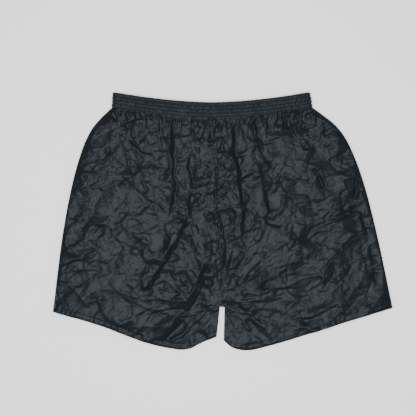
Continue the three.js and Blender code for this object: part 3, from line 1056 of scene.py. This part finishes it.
# Knitted round rubber cords: a dull, slightly grey black.
webbing = matt_yarn("knitted_elastic_webbing", "#16191c", 0.75, 0.909, 0.5)
STITCH_TREE = stitch_tree()


# ---- The pieces ----

def finish_piece(piece, material, slot, *replaced):
    """Gives a piece its material, bakes its place into its mesh, and hides the parts of the frame that it
    replaces.
    """
    piece.data.materials.clear()
    piece.data.materials.append(material)
    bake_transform(piece)
    if replaced:
        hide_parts(*replaced)


FRONT, BACK = np.array([0, 0, 1.0]), np.array([0, 0, -1.0])

for side in SIDES:
    for face, inward in (("front", -1), ("back", 1)):
        shell = panel(side, f"shell_{face}_{side}", face, inward)
        names = f"{face}_panel_{side}", f"hem_turn_{face}_{side}"
        finish_piece(shell, shell_nylon, "shell_cloth", *names)
    cover = band_cover(side)
    finish_piece(cover, band_nylon, "waistband_cloth", f"waistband_cover_{side}")
    finish_piece(band_elastic(side), webbing, "elastic_webbing", f"waist_elastic_{side}")

    overlocked = []
    for seam, edge, start in (("side_seam", 1, 0.005), ("inseam", 0, CROTCH_ROW)):
        allowance, overlocked_edge = edge_seam(side, f"{seam}_allowance_{side}", edge, start)
        finish_piece(allowance, seam_nylon, "seam_cloth", f"{seam}_{side}")
        overlocked += [overlocked_edge + OVERLOCK_RISE * up for up in (FRONT, BACK)]
    slanted = {"Pitch": 2.4, "Length": 3.4, "Turn": 1.1, "Looseness": 0.15}
    stitches(f"overlock_{side}", [], overlocked, [FRONT, BACK] * 2, **slanted)

    for row in range(ROWS):
        share = np.linspace(0.0005, 0.9995, 500)
        height = np.full(share.shape, ROW_FOOT + row * ROW_PITCH)
        along = band_path(side, share)[4] * SIDES[side]
        sunk = BAND_HALF + band_relief(along, height) + 0.15
        path = band_points(side, share, height, sunk)
        outer = band_points(side, share, height, sunk + 1) - path
        names = [f"waist_thread_{face}_row_{row + 1}_{side}" for face in ("front", "back")]
        stitches(f"waist_stitching_row_{row + 1}_{side}", names, [path], [outer], Looseness=0.08)

    for face, up in (("front", FRONT), ("back", BACK)):
        s = np.linspace(0.004, 0.996, 400)
        t = 1 - HEM_STITCH_INSET / (LAYS[side]["inner_length"] * (1 - s) + LAYS[side]["side"].length * s)
        line = surface(side, face, s, t)
        both = [line + STITCH_RISE * up, line - (HEM_LAYER + STITCH_RISE) * up]
        name, names = f"hem_stitching_{face}_{side}", [f"hem_thread_{face}_{side}"]
        stitches(name, names, both, [up, -up], Looseness=0.1)

for face, inward in (("front", -1), ("back", 1)):
    allowance = centre_seam(f"centre_{face}_allowance", face, inward, CROTCH_ROW)
    finish_piece(allowance, seam_nylon, "seam_cloth", f"centre_{face}_seam")
t = np.linspace(0.01, CROTCH_ROW, 300)
line = surface("left", "front", share_from_edge("left", t, TOPSTITCH_INSET, 0), t) + STITCH_RISE * FRONT
stitches("centre_topstitching", ["centre_front_thread"], [line], [FRONT], Looseness=0.1)
tack_low, tack_high = (np.array(c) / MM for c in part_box("crotch_tack"))
tack_y = np.linspace(tack_low[1], tack_high[1], 12)
line = np.stack([fold_x(tack_y) - 3.5, tack_y, 0 * tack_y], -1)
line[:, 2] = surface("left", "front", [0.012], CROTCH_ROW - 0.005)[0, 2] + 0.3
crossing = {"Pitch": TACK_PITCH, "Length": TACK_WIDTH, "Turn": math.pi / 2, "Looseness": 0.05}
stitches("crotch_bar_tack", ["crotch_tack"], [line], [FRONT], **crossing)


# ---- Floor, light and camera ----

FLOOR_REACH = 6.0  # metres, as all sizes of the studio
FLOOR_LEVEL = -0.0006  # just below the lowest crumple of the back
KEY_AT = (-0.09, -0.05, 1.95)
KEY_SIZE = 0.9
KEY_POWER = 60
ROOM_LIGHT = 0.5
EYE_AT = (-0.0272, 0.0246, 1.82)


def area_light():
    data = bpy.data.lights.new("key", "AREA")
    data.size = KEY_SIZE
    data.energy = KEY_POWER
    lamp = in_scene("key", data)
    lamp.location = KEY_AT
    lamp.rotation_euler = (-Vector(KEY_AT)).to_track_quat("-Z", "Y").to_euler()


def studio():
    mesh = bpy.data.meshes.new("floor")
    corners = [(x * FLOOR_REACH, y * FLOOR_REACH, 0) for x, y in ((-1, -1), (1, -1), (1, 1), (-1, 1))]
    mesh.from_pydata(corners, [], [(0, 1, 2, 3)])
    floor = in_scene("floor", mesh)
    floor.location.z = FLOOR_LEVEL
    # Uncoated paper: matt, so that the lamp leaves no bright spot on it.
    paper = bpy.data.materials.new("white_paper_backdrop")
    paper.use_nodes = True
    finish = paper.node_tree.nodes["Principled BSDF"].inputs
    finish["Base Color"].default_value = srgb("#fdfdfd")
    finish["Roughness"].default_value = 0.9
    mesh.materials.append(paper)
    world = bpy.data.worlds.new("soft_room")
    bpy.context.scene.world = world
    world.use_nodes = True
    glow = world.node_tree.nodes["Background"].inputs
    glow["Color"].default_value = (1, 1, 1, 1)
    glow["Strength"].default_value = ROOM_LIGHT
    area_light()


def camera():
    data = bpy.data.cameras.new("camera")
    data.lens = 85
    data.sensor_width = 36
    eye = in_scene("camera", data)
    eye.location = EYE_AT
    bpy.context.scene.camera = eye


studio()
camera()
